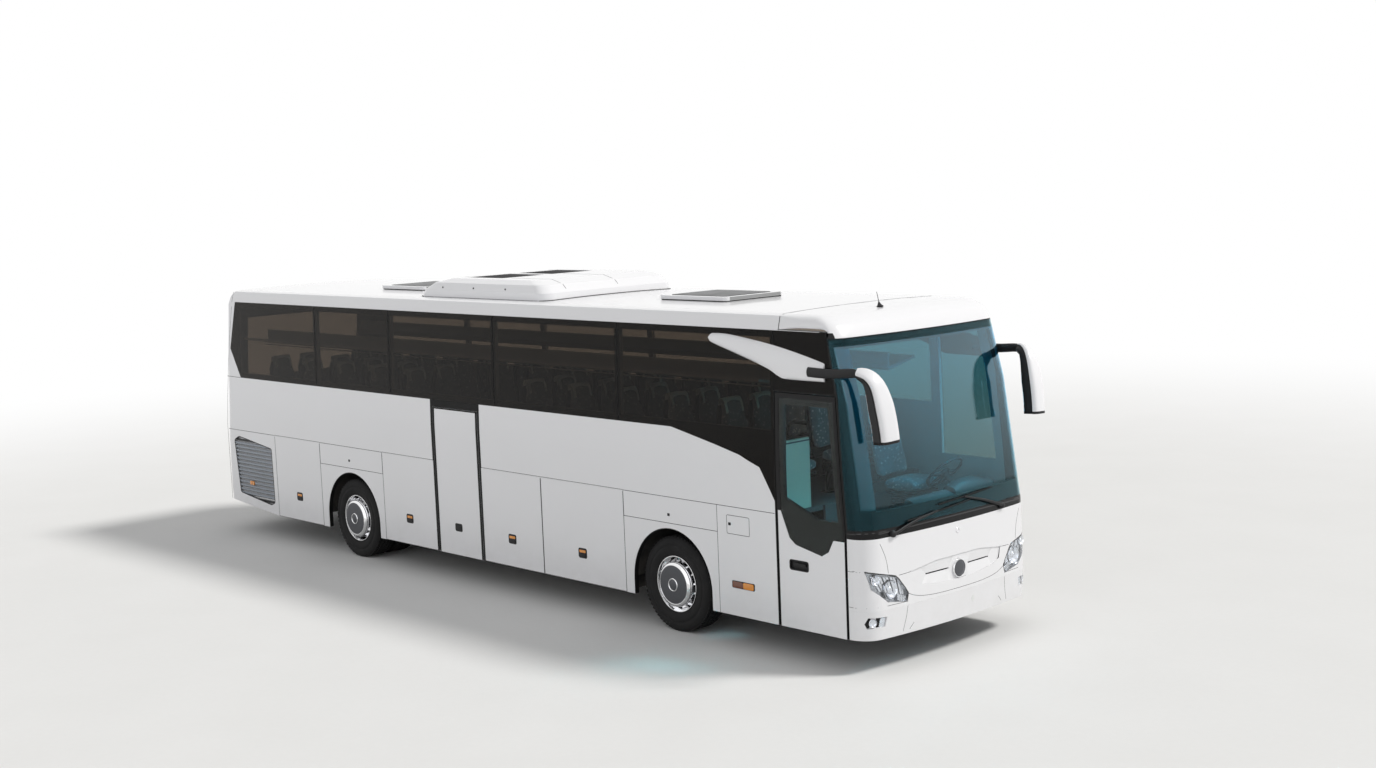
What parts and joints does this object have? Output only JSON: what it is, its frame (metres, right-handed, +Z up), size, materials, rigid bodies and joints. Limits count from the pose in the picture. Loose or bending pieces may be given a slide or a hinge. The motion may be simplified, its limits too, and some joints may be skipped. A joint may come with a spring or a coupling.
{
  "type": "coach bus",
  "caption": "High-floor touring coach with plug doors, lift-up luggage flaps, steered front wheels, twin rear wheels, roof hatches and a rear engine lid.",
  "frame": {"origin": "on the ground, midway between the outermost points of the length and of the width", "axes": "+X forward along the coach, +Y to its left, +Z up"},
  "size_m": [12.4, 2.55, 3.6399],
  "materials": {
    "body_paint": "gloss",
    "side_glass": "tinted gloss",
    "windscreen_glass": "clear gloss",
    "lamp_clear": "gloss",
    "lamp_red": "gloss",
    "dark_steel": "satin",
    "floor_covering": "matt",
    "dark_plastic": "matt",
    "light_plastic": "matt",
    "cast_engine": "rough",
    "tyre_rubber": "matt",
    "wheel_chrome": "polished",
    "seat_fabric": "woven"
  },
  "bodies": {
    "coach": {"side_right": "body_paint", "side_left": "body_paint", "side_glass_right": "side_glass", "side_glass_left": "side_glass", "roof": "body_paint", "roof_aircon": "body_paint", "front_mask": "body_paint", "front_bumper": "body_paint", "windscreen": "windscreen_glass", "front_lamps": "lamp_clear", "rear_wall": "body_paint", "rear_window": "side_glass", "tail_lamps": "lamp_red", "cabin_floor": "floor_covering", "middle_stairs": "floor_covering", "underframe": "dark_steel", "wheel_tubs": "dark_plastic", "engine": "cast_engine", "front_axle": "dark_steel", "rear_axle": "dark_steel", "passenger_seats": "seat_fabric", "driver_seat": "seat_fabric", "dashboard": "dark_plastic", "steering_wheel": "dark_plastic", "luggage_racks": "light_plastic", "mirror_right": "body_paint", "mirror_left": "body_paint"},
    "knuckle_right": {"knuckle_right": "dark_steel"},
    "knuckle_left": {"knuckle_left": "dark_steel"},
    "wheel_front_right": {"tyre_front_right": "tyre_rubber", "rim_front_right": "wheel_chrome"},
    "wheel_front_left": {"tyre_front_left": "tyre_rubber", "rim_front_left": "wheel_chrome"},
    "wheel_rear_right": {"tyre_rear_right": "tyre_rubber", "rim_rear_right": "wheel_chrome"},
    "wheel_rear_left": {"tyre_rear_left": "tyre_rubber", "rim_rear_left": "wheel_chrome"},
    "front_door_arm": {"front_door_arm": "dark_steel"},
    "front_door_leaf": {"front_door": "body_paint", "front_door_glass": "side_glass"},
    "middle_door_arm": {"middle_door_arm": "dark_steel"},
    "middle_door_leaf": {"middle_door": "body_paint"},
    "flap_right_service": {"flap_right_service": "body_paint"},
    "flap_right_rear": {"flap_right_rear": "body_paint"},
    "flap_right_middle": {"flap_right_middle": "body_paint"},
    "flap_right_front": {"flap_right_front": "body_paint"},
    "flap_left_service": {"flap_left_service": "body_paint"},
    "flap_left_rear": {"flap_left_rear": "body_paint"},
    "flap_left_middle": {"flap_left_middle": "body_paint"},
    "flap_left_front": {"flap_left_front": "body_paint"},
    "engine_lid": {"engine_lid": "body_paint"},
    "roof_hatch_front": {"roof_hatch_front": "body_paint"},
    "roof_hatch_rear": {"roof_hatch_rear": "body_paint"}
  },
  "joints": [
    {"name": "steer_left", "type": "hinge", "parent": "coach", "child": "knuckle_left", "pos_m": [3.2, 0.9, 0.51], "axis": [0, 0, 1], "range_deg": [-45, 45]},
    {"name": "steer_right", "type": "hinge", "parent": "coach", "child": "knuckle_right", "pos_m": [3.2, -0.9, 0.51], "axis": [0, 0, 1], "range_deg": [-45, 45]},
    {"name": "spin_front_right", "type": "hinge", "parent": "knuckle_right", "child": "wheel_front_right", "pos_m": [3.2, -1.086, 0.51], "axis": [0, 1, 0], "continuous": true},
    {"name": "spin_front_left", "type": "hinge", "parent": "knuckle_left", "child": "wheel_front_left", "pos_m": [3.2, 1.086, 0.51], "axis": [0, 1, 0], "continuous": true},
    {"name": "spin_rear_right", "type": "hinge", "parent": "coach", "child": "wheel_rear_right", "pos_m": [-2.89, -1.086, 0.51], "axis": [0, 1, 0], "continuous": true},
    {"name": "spin_rear_left", "type": "hinge", "parent": "coach", "child": "wheel_rear_left", "pos_m": [-2.89, 1.086, 0.51], "axis": [0, 1, 0], "continuous": true},
    {"name": "front_door_swing", "type": "hinge", "parent": "coach", "child": "front_door_arm", "pos_m": [5.564, -1.12, 0.86], "axis": [0, 0, -1], "range_deg": [-90, 0]},
    {"name": "front_door_turn", "type": "hinge", "parent": "front_door_arm", "child": "front_door_leaf", "pos_m": [4.864, -1.12, 0.86], "axis": [0, 0, -1], "range_deg": [0, 90]},
    {"name": "middle_door_swing", "type": "hinge", "parent": "coach", "child": "middle_door_arm", "pos_m": [-0.175, -1.12, 0.86], "axis": [0, 0, -1], "range_deg": [-90, 0]},
    {"name": "middle_door_turn", "type": "hinge", "parent": "middle_door_arm", "child": "middle_door_leaf", "pos_m": [-0.815, -1.12, 0.86], "axis": [0, 0, -1], "range_deg": [0, 90]},
    {"name": "lift_right_service", "type": "hinge", "parent": "coach", "child": "flap_right_service", "pos_m": [-4.2085, -1.27, 1.4407], "axis": [-1, 0, 0], "range_deg": [0, 88]},
    {"name": "lift_right_rear", "type": "hinge", "parent": "coach", "child": "flap_right_rear", "pos_m": [-1.5905, -1.27, 1.4407], "axis": [-1, 0, 0], "range_deg": [0, 88]},
    {"name": "lift_right_middle", "type": "hinge", "parent": "coach", "child": "flap_right_middle", "pos_m": [0.4715, -1.27, 1.4407], "axis": [-1, 0, 0], "range_deg": [0, 88]},
    {"name": "lift_right_front", "type": "hinge", "parent": "coach", "child": "flap_right_front", "pos_m": [1.7545, -1.27, 1.4407], "axis": [-1, 0, 0], "range_deg": [0, 88]},
    {"name": "lift_left_service", "type": "hinge", "parent": "coach", "child": "flap_left_service", "pos_m": [-4.2085, 1.27, 1.4407], "axis": [1, 0, 0], "range_deg": [0, 88]},
    {"name": "lift_left_rear", "type": "hinge", "parent": "coach", "child": "flap_left_rear", "pos_m": [-1.4155, 1.27, 1.4407], "axis": [1, 0, 0], "range_deg": [0, 88]},
    {"name": "lift_left_middle", "type": "hinge", "parent": "coach", "child": "flap_left_middle", "pos_m": [0.189, 1.27, 1.4407], "axis": [1, 0, 0], "range_deg": [0, 88]},
    {"name": "lift_left_front", "type": "hinge", "parent": "coach", "child": "flap_left_front", "pos_m": [1.7545, 1.27, 1.4407], "axis": [1, 0, 0], "range_deg": [0, 88]},
    {"name": "lift_engine_lid", "type": "hinge", "parent": "coach", "child": "engine_lid", "pos_m": [-6.12673, 0, 1.7547], "axis": [0, 1, 0], "range_deg": [0, 75]},
    {"name": "tilt_hatch_front", "type": "hinge", "parent": "coach", "child": "roof_hatch_front", "pos_m": [2.255, 0, 3.4353], "axis": [0, -1, 0], "range_deg": [0, 25]},
    {"name": "tilt_hatch_rear", "type": "hinge", "parent": "coach", "child": "roof_hatch_rear", "pos_m": [-3.205, 0, 3.4353], "axis": [0, -1, 0], "range_deg": [0, 25]}
  ],
  "couplings": [
    {"joint": "steer_right", "follows": "steer_left", "ratio": 1},
    {"joint": "front_door_turn", "follows": "front_door_swing", "ratio": -1},
    {"joint": "middle_door_turn", "follows": "middle_door_swing", "ratio": -1}
  ]
}
